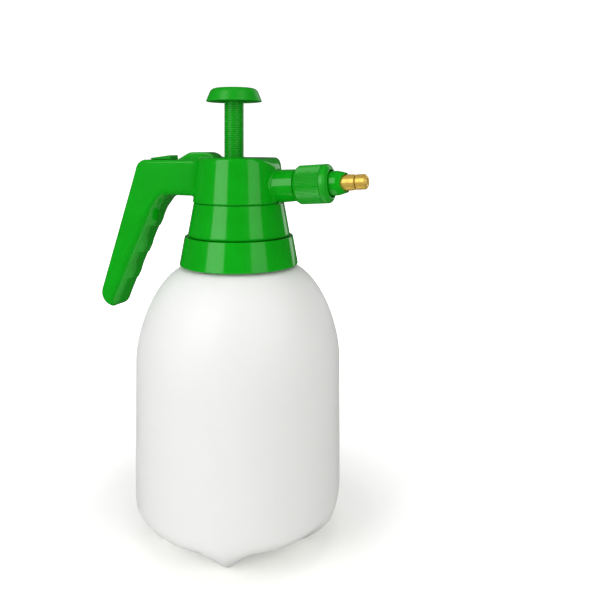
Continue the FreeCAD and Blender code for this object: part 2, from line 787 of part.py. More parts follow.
# ---- liquid path --------------------------------------------------------------------------------
def dip_tube():
    return tube(DIP_OUT, DIP_BORE, DIP_LOW_Z, DIP_TOP_Z, VALVE_X)


def strainer():
    """Slotted cup on the end of the dip tube."""
    cup_r = 4.6
    bottom = DIP_LOW_Z - 3
    top = DIP_LOW_Z + 7
    inside = DIP_LOW_Z - 1.8
    cup = turned([
        (0, bottom),
        (cup_r, bottom, 0.8),
        (cup_r, top, 0.5),
        (DIP_OUT, top),
        (DIP_OUT, DIP_LOW_Z),
        (2.6, DIP_LOW_Z),
        (2.6, inside),
        (0, inside),
    ], VALVE_X)
    slots = []
    for i in range(4):
        slot = Part.makeBox(12, 0.9, 1.3, Vector(-6, -0.45, inside + 0.2))
        slot.rotate(Vector(0, 0, 0), Vector(0, 0, 1), 45 * i)
        slot.translate(Vector(VALVE_X, 0, 0))
        slots.append(slot)
    return finish(cup.cut(slots))


def outlet_hose():
    """Hose from the valve round the pump rod to the spout."""
    base, way = port_line()
    start = base + way * 1.3
    tilt = math.radians(SPOUT_TILT)
    forward = Vector(math.cos(tilt), 0, math.sin(tilt))
    end = Vector(0, 0, SPOUT_ORIGIN_Z) + forward * 23.9
    route = [start, Vector(-4, 18.5, 230.5), Vector(11, 9.5, 232.2), end]
    curve = Part.BSplineCurve()
    curve.interpolate(Points=route, InitialTangent=way, FinalTangent=forward)
    path = Part.Wire(curve.toShape())
    skins = []
    for radius in (2.9, 1.9):
        ring = Part.Wire(Part.Circle(start, way, radius).toShape())
        skins.append(path.makePipeShell([ring], True, True))
    return finish(skins[0].cut(skins[1]))


# ---- nozzle -------------------------------------------------------------------------------------
def knurl_prism(radius, depth, low, high):
    """Prism with a fine saw edge, for the ribs round the nut."""
    corners = []
    for i in range(KNURL_RIBS * 2):
        angle = math.pi * i / KNURL_RIBS
        reach = radius if i % 2 == 0 else radius - depth
        corners.append(Vector(reach * math.cos(angle), reach * math.sin(angle), low))
    corners.append(corners[0])
    return Part.Face(Part.makePolygon(corners)).extrude(Vector(0, 0, high - low))


def nozzle_nut():
    outline = turned([
        (9.7, NUT_REAR, 0.3),
        (11.5, NUT_REAR, 0.6),
        (NUT_R, NUT_REAR + 2.0, 1.3),
        (NUT_R, GROOVE_AT),
        (NUT_R - 0.5, GROOVE_AT + 0.2),
        (NUT_R - 0.5, GROOVE_AT + 0.7),
        (NUT_R, GROOVE_AT + 0.9),
        (NUT_R, 66.2, 2.0),
        (10.2, NUT_FRONT, 0.6),
        (9.4, NUT_FRONT),
        (9.4, FLANGE_FRONT + 2.6),
        (BARREL_R + RUNNING, FLANGE_FRONT + 2.6),
        (BARREL_R + RUNNING, FLANGE_FRONT),
        (NUT_BORE, FLANGE_FRONT),
        (NUT_BORE, NUT_REAR + 2.2),
        (9.7, NUT_REAR + 2.2),
    ])
    rear = knurl_prism(NUT_R + 0.05, 0.4, NUT_REAR - 1, GROOVE_AT + 0.1)
    front = rod(NUT_R + 1, GROOVE_AT + 0.1, NUT_FRONT + 1)
    body = outline.common(rear.fuse(front))
    screw = thread(NUT_BORE + 0.2, 9.25, SPOUT_PITCH, SPOUT_THREAD_AT + SPOUT_PITCH / 2, 3, 1.2, 0.6)
    return finish(on_spout(body.fuse(screw)))


def nozzle_barrel():
    """Tapered sleeve held by the nut, with a saddle-shaped mouth."""
    sleeve = turned([
        (SPOUT_BORE, SPOUT_END + WASHER),
        (9.7, SPOUT_END + WASHER, 0.3),
        (9.7, FLANGE_FRONT - 0.02),
        (BARREL_R, FLANGE_FRONT - 0.02),
        (BARREL_R, 72.4, 0.8),
        (6.35, BARREL_FRONT, 0.2),
        (STEM_R + 0.35, BARREL_FRONT),
        (STEM_R + 0.35, SLEEVE_STEP),
        (SHANK_R, SLEEVE_STEP),
        (SHANK_R, SPOUT_END + 4),
        (SPOUT_BORE, SPOUT_END + 4),
    ])
    saddle = cross_rod(7.4, 12, 0, BARREL_FRONT + 4.0)
    return finish(on_spout(sleeve.cut(saddle)))


def nozzle_washer():
    return on_spout(tube(8.2, SPOUT_BORE + 0.2, SPOUT_END, SPOUT_END + WASHER))


def nozzle_stem():
    """Brass stem pressed in the sleeve; the tip turns on its front spigot."""
    shank_end = TIP_REAR - 0.9
    spigot_end = CORE_FRONT + 0.2
    return on_spout(turned([
        (STEM_BORE, SPOUT_END + 4),
        (SHANK_R, SPOUT_END + 4),
        (SHANK_R, SLEEVE_STEP),
        (STEM_R, SLEEVE_STEP, 0.2),
        (STEM_R, BARREL_FRONT - 0.6),
        (STEM_R - 0.3, shank_end, 0.3),
        (TIP_SPIGOT_R, shank_end),
        (TIP_SPIGOT_R, spigot_end, 0.3),
        (CORE_R, spigot_end),
        (CORE_R, CORE_REAR),
        (STEM_BORE, CORE_REAR),
    ]))


def spray_core():
    """Insert that swirls the liquid in front of the spray hole."""
    core = rod(CORE_R, CORE_REAR, CORE_FRONT)
    slots = []
    for i in range(3):
        slot = Part.makeBox(2.4, 0.7, 4, Vector(1.0, -0.35, CORE_REAR - 0.4))
        slot.rotate(Vector(0, 0, 0), Vector(0, 0, 1), 120 * i)
        slots.append(slot)
    return finish(on_spout(core.cut(slots)))


def tip_seal():
    return on_spout(tube(TIP_BORE - 0.04, TIP_SPIGOT_R + 0.1, TIP_REAR + 0.1, TIP_REAR + 1.3))


def nozzle_tip():
    """Brass cap that is turned to set the spray."""
    return on_spout(turned([
        (TIP_BORE, TIP_REAR),
        (TIP_R, TIP_REAR, 0.2),
        (TIP_R, TIP_FRONT - 1.4, 0.3),
        (TIP_R - 1.5, TIP_FRONT, 0.3),
        (2.6, TIP_FRONT, 0.2),
        (SPRAY_HOLE_R, TIP_FRONT - 1.2),
        (SPRAY_HOLE_R, CORE_FRONT + 1.0),
        (TIP_SPIGOT_R + RUNNING, CORE_FRONT + 1.0),
        (TIP_SPIGOT_R + RUNNING, TIP_REAR + 1.4),
        (TIP_BORE, TIP_REAR + 1.4),
    ]))


PIECES = {
    "bottle": bottle,
    "lock_ring": lock_ring,
    "neck_gasket": neck_gasket,
    "pump_cylinder": pump_cylinder,
    "cylinder_cap": cylinder_cap,
    "check_valve": check_valve,
    "head_base": head_base,
    "head_housing": head_housing,
    "rod_guide": rod_guide,
    "plunger_knob": plunger_knob,
    "pump_rod": pump_rod,
    "piston": piston,
    "piston_seal": piston_seal,
    "trigger_lever": trigger_lever,
    "trigger_pin": trigger_pin,
    "lock_slide": lock_slide,
    "valve_body": valve_body,
    "pin_seal": pin_seal,
    "valve_pin": valve_pin,
    "valve_washer": valve_washer,
    "valve_spring": valve_spring,
    "dip_tube": dip_tube,
    "strainer": strainer,
    "outlet_hose": outlet_hose,
    "nozzle_nut": nozzle_nut,
    "nozzle_barrel": nozzle_barrel,
    "nozzle_washer": nozzle_washer,
    "nozzle_stem": nozzle_stem,
    "spray_core": spray_core,
    "tip_seal": tip_seal,
    "nozzle_tip": nozzle_tip,
}

os.makedirs("parts", exist_ok=True)
for name, build in PIECES.items():
    shape = build()
    shape.translate(Vector(BOTTLE_AXIS_X, 0, 0))
    shape.exportStep("parts/" + name + ".step")
    box = shape.BoundBox
    print(name, shape.ShapeType, len(shape.Solids), shape.isValid(), round(shape.Volume), "mm3",
          [round(v, 1) for v in (box.XMin, box.XMax, box.YMin, box.YMax, box.ZMin, box.ZMax)])
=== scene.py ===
import json
import math

import bpy
import numpy as np
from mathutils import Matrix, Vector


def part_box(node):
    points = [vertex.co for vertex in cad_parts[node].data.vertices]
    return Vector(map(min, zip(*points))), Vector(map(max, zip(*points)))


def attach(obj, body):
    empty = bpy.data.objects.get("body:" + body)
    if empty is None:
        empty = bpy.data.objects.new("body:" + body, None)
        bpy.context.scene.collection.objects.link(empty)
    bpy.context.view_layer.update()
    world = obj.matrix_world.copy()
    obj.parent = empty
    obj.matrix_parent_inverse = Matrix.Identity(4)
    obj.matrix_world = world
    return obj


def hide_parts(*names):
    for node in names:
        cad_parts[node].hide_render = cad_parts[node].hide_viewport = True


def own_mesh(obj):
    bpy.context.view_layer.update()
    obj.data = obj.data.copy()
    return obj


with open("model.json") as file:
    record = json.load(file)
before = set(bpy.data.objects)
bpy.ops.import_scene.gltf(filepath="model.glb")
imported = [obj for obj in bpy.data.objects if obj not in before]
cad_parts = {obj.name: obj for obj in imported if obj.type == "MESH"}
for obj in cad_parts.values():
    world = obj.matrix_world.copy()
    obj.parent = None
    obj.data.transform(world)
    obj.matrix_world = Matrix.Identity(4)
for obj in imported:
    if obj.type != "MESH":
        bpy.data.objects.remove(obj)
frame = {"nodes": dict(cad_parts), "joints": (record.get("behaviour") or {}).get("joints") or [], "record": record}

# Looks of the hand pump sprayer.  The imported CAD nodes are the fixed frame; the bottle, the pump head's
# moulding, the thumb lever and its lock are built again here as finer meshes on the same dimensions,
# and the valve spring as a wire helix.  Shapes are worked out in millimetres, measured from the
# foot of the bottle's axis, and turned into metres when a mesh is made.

import openvdb
from mathutils import Vector

MM = 0.001
bpy.context.view_layer.update()


def box_mm(node):
    """Corners of a CAD node's box, measured from the foot of the bottle's axis."""
    low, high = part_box(node)
    return low / MM - AXIS_FOOT, high / MM - AXIS_FOOT


def joint(name):
    return next(one for one in frame["joints"] if one["name"] == name)


# ---- places taken from the frame ----------------------------------------------------------------
def axis_foot():
    """Middle of the bottle, on the floor: the working origin of everything below."""
    low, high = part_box("bottle")
    middle = (low + high) / 2 / MM
    return Vector((middle.x, middle.y, 0))


AXIS_FOOT = axis_foot()
BOTTLE_TOP_Z = box_mm("bottle")[1].z
HEAD_LOW, HEAD_HIGH = box_mm("head_housing")
ROD_LOW, ROD_HIGH = box_mm("pump_rod")
PIN_LOW, PIN_HIGH = box_mm("valve_pin")
LEVER_LOW, LEVER_HIGH = box_mm("trigger_lever")
LOCK_LOW, LOCK_HIGH = box_mm("lock_slide")
SPOUT_AXIS = Vector(joint("nut_turn")["axis"]).normalized()
SPOUT_POINT = Vector(joint("nut_turn")["pos_m"]) / MM - AXIS_FOOT
PIVOT = Vector(joint("trigger_press")["pos_m"]) / MM - AXIS_FOOT
PLUNGER_X = (ROD_LOW.x + ROD_HIGH.x) / 2
VALVE_X = (PIN_LOW.x + PIN_HIGH.x) / 2
HEAD_TOP_Z = HEAD_HIGH.z

# ---- pump head, millimetres ---------------------------------------------------------------------
DRUM_LOW_Z = 222.5
DRUM_LOW_R = 31.6
DRUM_TOP_R = 28.2
DRUM_EDGE = 1.7
DRUM_BROW = 11.0
DRUM_LOW_EDGE = 0.5
WALL = 2.4
SPIGOT_R = 28.4
SPIGOT_HIGH = 4.0           # how far the straight spigot bore reaches up into the drum
CEILING_Z = HEAD_TOP_Z - 2.6
CEILING_EDGE = 3.0
CAVITY_EDGE = 0.8
RIM_EDGE = 0.3
POCKET_EDGE = 0.5
BORE_EDGE = 0.35
ARM_ROOT_X = -20.0          # inside the drum
ARM_TOP_Z = 251.0
ARM_LOW_Z = 226.0
ARM_LOW_END_X = -54.4
HANDLE_HALF = 12.0
HANDLE_FILLET = 3.2
HANDLE_LEAN = 0.3368
HANDLE_CORNER_X = -76.4
GRIP_LOW_Z = HEAD_LOW.z - 2.0
FINGER_RIDGE = (-66.7, 202.7)
FINGER_STEP = (-9.65, -19.65)
RIDGE_HALF = 3.0            # the ridges are at full depth this far from the middle
RIDGE_FADE = 6.0
SPOUT_FROM = 27.0           # along the spout's axis, from where it crosses the bottle's axis
SPOUT_STEPS = (32.0, 43.5, 44.0, 47.4)
SPOUT_RADII = (11.0, 10.6, 9.2, 8.9)
SPOUT_END = 57.0
SPOUT_END_EDGE = 0.4
SPOUT_CLEAR_X = 58.5        # just beyond the spout's end
SPOUT_FILLET = 1.6
SPOUT_ROOT_R = 8.0
SPOUT_ROOT_FROM = 24.0
SPOUT_BORE_R = 2.4
SPOUT_BORE_FROM = 20.0
CHEEKS_X = (-34.0, -11.6)
CHEEKS_HALF = 11.0
CHEEKS_LOW_Z = 233.0
BUSH_R = 7.9
BUSH_LOW_Z = 240.0
COLLAR_WALL = 2.0
COLLAR_LOW_Z = 242.0
RECESS_WIDE = 1.7
RECESS_DEEP = 1.2
VALVE_SEAT_R = 5.5
VALVE_SEAT_TOP_Z = 238.0
PIN_HOLE_R = 1.9
PIN_HOLE_TOP_Z = 240.0
HINGE_HOLE_R = 1.5
HINGE_HOLE_HALF = 10.0
POCKET_X = (-49.6, -12.4)
POCKET_HALF = 6.7
POCKET_FLOOR_Z = 238.6
SLOT_X = (-69.0, -49.0)
SLOT_HALF = 4.3
SLOT_FLOOR_Z = 246.9
HEAD_VOXEL = 0.65

# ---- lever, lock and spring, millimetres --------------------------------------------------------
LEVER_EDGE = 1.1
LEVER_HOLLOW_X = (-43.6, -28.0)
LEVER_HOLLOW_TOP_Z = 249.5
LEVER_WALL = 1.6
LEVER_HOLLOW_EDGE = 0.3
LEVER_HOLE_R = 1.56
LEVER_HOLE_EDGE = 0.2
LEVER_VOXEL = 0.35
LOCK_EDGE = 0.6
GROOVE_COUNT = 6
GROOVE_STEP = 2.4
GROOVE_R = 0.6
GROOVE_EDGE = 0.15
GROOVE_START = (-54.6, 254.194)
GROOVE_CLIMB = 0.128        # slope of the lock's top
TONGUE_HALF = 4.0
TONGUE_EDGE = 0.3
LOCK_VOXEL = 0.25
SPRING_WIRE_R = 0.35
SPRING_TURNS = 6

# ---- bottle, millimetres ------------------------------------------------------------------------
BOTTLE_R = 69.0
BOTTLE_WALL = 1.6
SHOULDER_Z = 118.2
SHOULDER_RISE = 62.4
SHOULDER_FULLNESS = 1.22
SHOULDER_END = 77.0         # degrees up the shoulder's curve, where the neck begins
CROWN_R = 29.5
NECK_R = 31.5
NECK_THREAD_R = 33.1
NECK_PITCH = 4.0
THREAD_LOW_Z = 181.6
MOUTH_R = 29.3
BOWL_Z = 6.8
BOWL_DOME = 2.0             # how far the middle of the floor stands above its rim
CORNER_R = 43.0
CORNER_RISE = 30.0
CORNER_ACROSS = 1.26        # fullness of the corner's curve, across and up
CORNER_UP = 0.6
FOOT_COUNT = 5
FOOT_FIRST = -71.0
FOOT_R = 44.5
FOOT_SPREAD = 14.0
FOOT_TIP = 2.4
FOOT_FLANK = 1.3
FOOT_FLAT = 3.0             # a foot reaches the floor out to this far beyond FOOT_R
FOOT_WALL_DROP = 3.0        # and at the wall it pulls the skin down only this much
FOOT_INSIDE = (25.5, 43.0)  # radii between which a foot grows out of the floor
FOOT_FADE_Z = (35.0, 60.0)  # heights between which the feet die out in the wall

# ---- camera, millimetres and degrees ------------------------------------------------------------
CAMERA_TURN = 22.0
CAMERA_ASIDE = 41.9
CAMERA_BACK = 448.0
CAMERA_HEIGHT = 260.0
CAMERA_LENS = 39.0
CAMERA_SHIFT = -0.255


# ---- outlines and distances ---------------------------------------------------------------------
NO_LENGTH = 1e-12


def rounded_outline(corners, steps=10):
    """Closed outline from (u, v, radius) corners, each corner turned into an arc."""
    count = len(corners)
    outline = []
    for i in range(count):
        here = np.array(corners[i][:2], float)
        radius = corners[i][2]
        if radius == 0:
            outline.append(here)
            continue
        back = np.array(corners[i - 1][:2]) - here
        ahead = np.array(corners[(i + 1) % count][:2]) - here
        back = back / np.linalg.norm(back)
        ahead = ahead / np.linalg.norm(ahead)
        half = math.acos(np.clip(back @ ahead, -1, 1)) / 2
        inward = (back + ahead) / np.linalg.norm(back + ahead)
        centre = here + inward * radius / math.sin(half)
        start = back * radius / math.tan(half) + here - centre
        end = ahead * radius / math.tan(half) + here - centre
        swing = math.pi - 2 * half
        for step in range(steps + 1):
            t = step / steps
            mixed = start * math.sin((1 - t) * swing) + end * math.sin(t * swing)
            outline.append(centre + mixed / math.sin(swing))
    return np.array(outline)


def outline_distance(outline, u, v):
    """Signed distance to a closed outline, negative inside."""
    nearest = np.full(np.broadcast(u, v).shape, np.inf)
    inside = np.zeros(nearest.shape, bool)
    for (au, av), (bu, bv) in zip(outline, np.roll(outline, -1, axis=0)):
        du, dv = bu - au, bv - av
        squared = du * du + dv * dv
        if squared < NO_LENGTH:
            continue
        share = np.clip(((u - au) * du + (v - av) * dv) / squared, 0, 1)
        nearest = np.minimum(nearest, (u - au - share * du) ** 2 + (v - av - share * dv) ** 2)
        if dv != 0:
            crossing = ((av > v) != (bv > v)) & (u < du * (v - av) / dv + au)
            inside ^= crossing
    return np.where(inside, -1, 1) * np.sqrt(nearest)


def round_max(a, b, radius):
    """Overlap of two solids, with a rounded edge where they meet."""
    over_a = np.maximum(a + radius, 0)
    over_b = np.maximum(b + radius, 0)
    return np.minimum(np.maximum(a, b), -radius) + np.sqrt(over_a ** 2 + over_b ** 2)


def round_min(a, b, radius):
    """Union of two solids, with a hollow fillet where they meet."""
    return -round_max(-a, -b, radius)


def carve(body, tool, radius):
    return round_max(body, -tool, radius)


def between(value, ends):
    """Signed distance to the slab between two ends, negative inside."""
    middle = (ends[0] + ends[1]) / 2
    return np.abs(value - middle) - (ends[1] - ends[0]) / 2


def upright(x, y, at_x, radius):
    return np.hypot(x - at_x, y) - radius


def smooth_step(value, low, high):
    """Rises from 0 at low to 1 at high, level at both ends."""
    share = np.clip((value - low) / (high - low), 0, 1)
    return share * share * (3 - 2 * share)


def spout_place(x, y, z):
    """Position along the spout's axis and distance from it."""
    dx, dz = x - SPOUT_POINT.x, z - SPOUT_POINT.z
    along = dx * SPOUT_AXIS.x + dz * SPOUT_AXIS.z + SPOUT_POINT.x / SPOUT_AXIS.x
    aside = dz * SPOUT_AXIS.x - dx * SPOUT_AXIS.z
    return along, np.hypot(aside, y)


# ---- meshes -------------------------------------------------------------------------------------
def add_mesh(name, points, faces, material, body, nodes):
    """Makes a piece from points in millimetres, and puts it in place of its CAD nodes."""
    mesh = bpy.data.meshes.new(name)
    placed = (np.asarray(points) + np.array(AXIS_FOOT)) * MM
    mesh.from_pydata(placed.tolist(), [], faces)
    mesh.validate()
    mesh.shade_smooth()
    piece = bpy.data.objects.new(name, mesh)
    bpy.context.scene.collection.objects.link(piece)
    mesh.materials.append(material)
    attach(piece, body)
    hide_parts(*nodes)
    return piece


PULL_PASSES = 4
FLATTEST_SLOPE = 0.3


def field_slope(field, points, step):
    """Gradient of a distance field at each point."""
    columns = []
    for axis in range(3):
        shift = np.zeros(3)
        shift[axis] = step
        ahead = field(*(points + shift).T)
        behind = field(*(points - shift).T)
        columns.append((ahead - behind) / (2 * step))
    return np.array(columns).T


def mesh_from_field(field, low, high, voxel):
    """Quads over the zero surface of a distance field, pulled onto it, with the surface's own normals."""
    margin = 3 * voxel
    low = np.array(low) - margin
    high = np.array(high) + margin
    counts = np.ceil((high - low) / voxel).astype(int) + 1
    x, y, z = (low[i] + voxel * np.arange(counts[i]) for i in range(3))
    values = field(x[:, None, None], y[None, :, None], z[None, None, :])
    values = np.broadcast_to(values, tuple(counts)).astype(np.float32)
    grid = openvdb.FloatGrid(margin)
    grid.copyFromArray(np.ascontiguousarray(values))
    points, quads = grid.convertToQuads(isovalue=0.0)
    points = points.astype(float) * voxel + low
    for _ in range(PULL_PASSES):
        slope = field_slope(field, points, voxel / 8)
        size = np.maximum((slope ** 2).sum(1), FLATTEST_SLOPE)
        move = slope * (field(*points.T) / size)[:, None]
        points = points - np.clip(move, -voxel / 2, voxel / 2)
    normals = field_slope(field, points, voxel / 4)
    normals /= np.maximum(np.linalg.norm(normals, axis=1), NO_LENGTH)[:, None]
    first = points[quads[:, 1]] - points[quads[:, 0]]
    second = points[quads[:, 2]] - points[quads[:, 0]]
    if (np.cross(first, second) * normals[quads[:, 0]]).sum() < 0:
        quads = quads[:, ::-1]
    return points, quads.tolist(), normals


def add_moulding(name, field, low, high, voxel, material, body, nodes):
    points, quads, normals = mesh_from_field(field, low, high, voxel)
    piece = add_mesh(name, points, quads, material, body, nodes)
    piece.data.normals_split_custom_set_from_vertices(normals.tolist())
    return piece


def swept_faces(sides, steps):
    """Faces of a profile of so many sides swept through so many steps, closed at both ends."""
    faces = []
    for near in range(0, sides * steps, sides):
        far = near + sides
        for i in range(sides):
            j = (i + 1) % sides
            faces.append((near + i, near + j, far + j, far + i))
    last = sides * steps
    faces.append(tuple(reversed(range(sides))))
    faces.append(tuple(range(last, last + sides)))
    return faces


# ---- the pump head's moulding -------------------------------------------------------------------
def drum_radius(z):
    share = (z - DRUM_LOW_Z) / (HEAD_TOP_Z - DRUM_LOW_Z)
    return DRUM_LOW_R + (DRUM_TOP_R - DRUM_LOW_R) * share


def drum_field(x, y, z):
    """Tapered drum whose top rounds off over the spout."""
    side = np.hypot(x, y) - drum_radius(z)
    brow_x = drum_radius(HEAD_TOP_Z - DRUM_BROW)
    top = round_max(x - brow_x, z - HEAD_TOP_Z, DRUM_BROW)
    return round_max(round_max(side, top, DRUM_EDGE), DRUM_LOW_Z - z, DRUM_LOW_EDGE)


def finger_point(finger, along, out):
    """A point of the grip's inner face: how far below a ridge, and how far out from the line of ridges."""
    length = math.hypot(*FINGER_STEP)
    down_x, down_z = FINGER_STEP[0] / length, FINGER_STEP[1] / length
    start_x = FINGER_RIDGE[0] + FINGER_STEP[0] * finger
    start_z = FINGER_RIDGE[1] + FINGER_STEP[1] * finger
    return start_x + down_x * along - down_z * out, start_z + down_z * along + down_x * out


def handle_outline(fingers):
    """Arm and grip seen from the side, with finger ridges down the inner face, or plain."""
    foot_x = HANDLE_CORNER_X - (ARM_TOP_Z - GRIP_LOW_Z) * HANDLE_LEAN
    corners = [
        (ARM_ROOT_X, ARM_LOW_Z, 0),
        (ARM_ROOT_X, ARM_TOP_Z, 0),
        (HANDLE_CORNER_X, ARM_TOP_Z, 9.0),
        (foot_x, GRIP_LOW_Z, 10.5),
        (*finger_point(2, 24.0, -1.5), 8.0),
    ]
    for finger in fingers:
        if finger < 2:
            corners.append((*finger_point(finger, 16.0, 0.2), 6.0))
            corners.append((*finger_point(finger, 9.0, -1.8), 8.0))
        corners.append((*finger_point(finger, 1.3, -2.0), 0.5))
        corners.append((*finger_point(finger, 0.0, 0.0), 0.6))
    if fingers:
        corners.append((*finger_point(0, -5.0, 0.2), 6.0))
    corners.append((*finger_point(0, -13.5, -1.4), 8.0))
    corners.append((ARM_LOW_END_X, ARM_LOW_Z, 9.0))
    return rounded_outline(corners)


def handle_edge(x, z):
    """Rounding of the handle's long edges, as a mean weighted by nearness to the faces they belong to:
    wide on the grip's inner face, tight along the arm's top."""
    length = math.hypot(*FINGER_STEP)
    inner = ((x - FINGER_RIDGE[0]) * -FINGER_STEP[1] + (z - FINGER_RIDGE[1]) * FINGER_STEP[0]) / length
    outer = (HANDLE_CORNER_X - x - (ARM_TOP_Z - z) * HANDLE_LEAN) / math.hypot(1, HANDLE_LEAN)
    above = np.maximum(z - ARM_LOW_Z, 0)
    nearness = 4.0
    faces = [
        (np.abs(inner) + above, 9.0),
        (outer, 4.0),
        (ARM_TOP_Z - z, 1.8),
        (z - ARM_LOW_Z, 3.8),
        (z - GRIP_LOW_Z, 5.0),
    ]
    total = 0
    weighted = 0
    for distance, radius in faces:
        weight = np.exp(-np.abs(distance) / nearness)
        total = total + weight
        weighted = weighted + weight * radius
    return weighted / total


RIDGED_OUTLINE = handle_outline((2, 1, 0))
PLAIN_OUTLINE = handle_outline(())


def handle_field(x, y, z):
    """The finger ridges are deepest along the middle of the grip, and die out towards its sides."""
    fade = smooth_step(np.abs(y), RIDGE_HALF, RIDGE_HALF + RIDGE_FADE)
    ridged = outline_distance(RIDGED_OUTLINE, x, z)
    plain = outline_distance(PLAIN_OUTLINE, x, z)
    flat = ridged * (1 - fade) + plain * fade
    return round_max(flat, np.abs(y) - HANDLE_HALF, handle_edge(x, z))


def spout_field(x, y, z):
    along, aside = spout_place(x, y, z)
    radius = np.interp(along, SPOUT_STEPS, SPOUT_RADII)
    tube = round_max(aside - radius, along - SPOUT_END, SPOUT_END_EDGE)
    return np.maximum(tube, SPOUT_FROM - along)


def cavity_field(x, y, z):
    """Hollow of the drum, round the valve's cheeks, the bush's collar and the spout's root."""
    ceiling_r = drum_radius(CEILING_Z) - WALL
    inner = np.interp(z, (DRUM_LOW_Z + SPIGOT_HIGH, CEILING_Z), (SPIGOT_R, ceiling_r))
    hollow = round_max(np.hypot(x, y) - inner, z - CEILING_Z, CEILING_EDGE)
    cheeks = np.maximum(np.abs(y) - CHEEKS_HALF, CHEEKS_LOW_Z - z)
    cheeks = np.maximum(between(x, CHEEKS_X), cheeks)
    collar = np.maximum(upright(x, y, PLUNGER_X, BUSH_R + COLLAR_WALL), COLLAR_LOW_Z - z)
    along, aside = spout_place(x, y, z)
    root = np.maximum(aside - SPOUT_ROOT_R, SPOUT_ROOT_FROM - along)
    for block in (cheeks, collar, root):
        hollow = carve(hollow, block, CAVITY_EDGE)
    return hollow


def pocket_field(x, y, z):
    """Pocket for the lever, with a shallower slot behind it for the lock."""
    pocket = np.maximum(between(x, POCKET_X), np.abs(y) - POCKET_HALF)
    pocket = np.maximum(pocket, POCKET_FLOOR_Z - z)
    slot = np.maximum(between(x, SLOT_X), np.abs(y) - SLOT_HALF)
    return np.minimum(pocket, np.maximum(slot, SLOT_FLOOR_Z - z))


def bores_field(x, y, z):
    """Bush seat and its recess, valve seat, pin holes and the spout's bore."""
    bush = np.maximum(upright(x, y, PLUNGER_X, BUSH_R), BUSH_LOW_Z - z)
    recess_low = HEAD_TOP_Z - RECESS_DEEP
    recess = np.maximum(upright(x, y, PLUNGER_X, BUSH_R + RECESS_WIDE), recess_low - z)
    valve = np.maximum(upright(x, y, VALVE_X, VALVE_SEAT_R), z - VALVE_SEAT_TOP_Z)
    pin = np.maximum(upright(x, y, VALVE_X, PIN_HOLE_R), z - PIN_HOLE_TOP_Z)
    hinge = np.hypot(x - PIVOT.x, z - PIVOT.z) - HINGE_HOLE_R
    hinge = np.maximum(hinge, np.abs(y) - HINGE_HOLE_HALF)
    along, aside = spout_place(x, y, z)
    bore = np.maximum(aside - SPOUT_BORE_R, SPOUT_BORE_FROM - along)
    return np.minimum.reduce(np.broadcast_arrays(bush, recess, valve, pin, hinge, bore))


def head_field(x, y, z):
    """Whole moulding; in front it is cut off level with the drum's lower edge."""
    body = round_min(drum_field(x, y, z), handle_field(x, y, z), HANDLE_FILLET)
    body = round_min(body, spout_field(x, y, z), SPOUT_FILLET)
    body = np.maximum(body, np.where(x > 0, DRUM_LOW_Z - z, -np.inf))
    body = carve(body, cavity_field(x, y, z), RIM_EDGE)
    body = carve(body, pocket_field(x, y, z), POCKET_EDGE)
    return carve(body, bores_field(x, y, z), BORE_EDGE)


def make_head(material):
    low = (HEAD_LOW.x, -DRUM_LOW_R, HEAD_LOW.z)
    high = (SPOUT_CLEAR_X, DRUM_LOW_R, HEAD_HIGH.z)
    add_moulding("head_moulding", head_field, low, high, HEAD_VOXEL, material,
                 "head", ["head_housing"])


def make_spout_thread(material):
    """Screw thread near the spout's end: a ridge along a helix, rooted in the spout's wall."""
    start = 47.2
    pitch = 2.5
    turns = 3
    root = 8.6
    crest = 9.4
    profile = [(root, -0.62), (crest, -0.3), (crest, 0.3), (root, 0.62)]
    around = 72
    run_in = 9
    across = Vector((SPOUT_AXIS.z, 0, -SPOUT_AXIS.x))
    sideways = Vector((0, 1, 0))
    origin = SPOUT_POINT - SPOUT_AXIS * (SPOUT_POINT.x / SPOUT_AXIS.x)
    steps = around * turns
    points = []
    for step in range(steps + 1):
        angle = 2 * math.pi * step / around
        out = across * math.cos(angle) + sideways * math.sin(angle)
        fade = min(1.0, step / run_in, (steps - step) / run_in)
        for radius, offset in profile:
            reach = root + (radius - root) * fade
            along = start + pitch * step / around + offset
            points.append(origin + SPOUT_AXIS * along + out * reach)
    faces = swept_faces(len(profile), steps)
    add_mesh("spout_thread", points, faces, material, "head", ["head_housing"])


# ---- valve spring -------------------------------------------------------------------------------
def make_spring(material):
    """Wire round a helix, ground flat at both ends."""
    low, high = box_mm("valve_spring")
    length = high.z - low.z
    coil_r = (high.x - low.x) / 2 - SPRING_WIRE_R
    middle = Vector(((low.x + high.x) / 2, 0, 0))
    ground_low = low.z + 0.01       # the ends are ground flat a hair clear of their seats
    ground_high = high.z - 0.02
    around = 32
    sides = 12
    steps = SPRING_TURNS * around
    points = []
    for step in range(steps + 1):
        angle = 2 * math.pi * step / around
        out = Vector((math.cos(angle), math.sin(angle), 0))
        climb = low.z + length * step / steps
        for side in range(sides):
            turn = -2 * math.pi * side / sides
            reach = coil_r + SPRING_WIRE_R * math.cos(turn)
            height = climb + SPRING_WIRE_R * math.sin(turn)
            height = min(max(height, ground_low), ground_high)
            points.append(middle + out * reach + Vector((0, 0, height)))
    faces = swept_faces(sides, steps)
    spring = add_mesh("spring_wire", points, faces, material, "head", ["valve_spring"])
    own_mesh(spring)


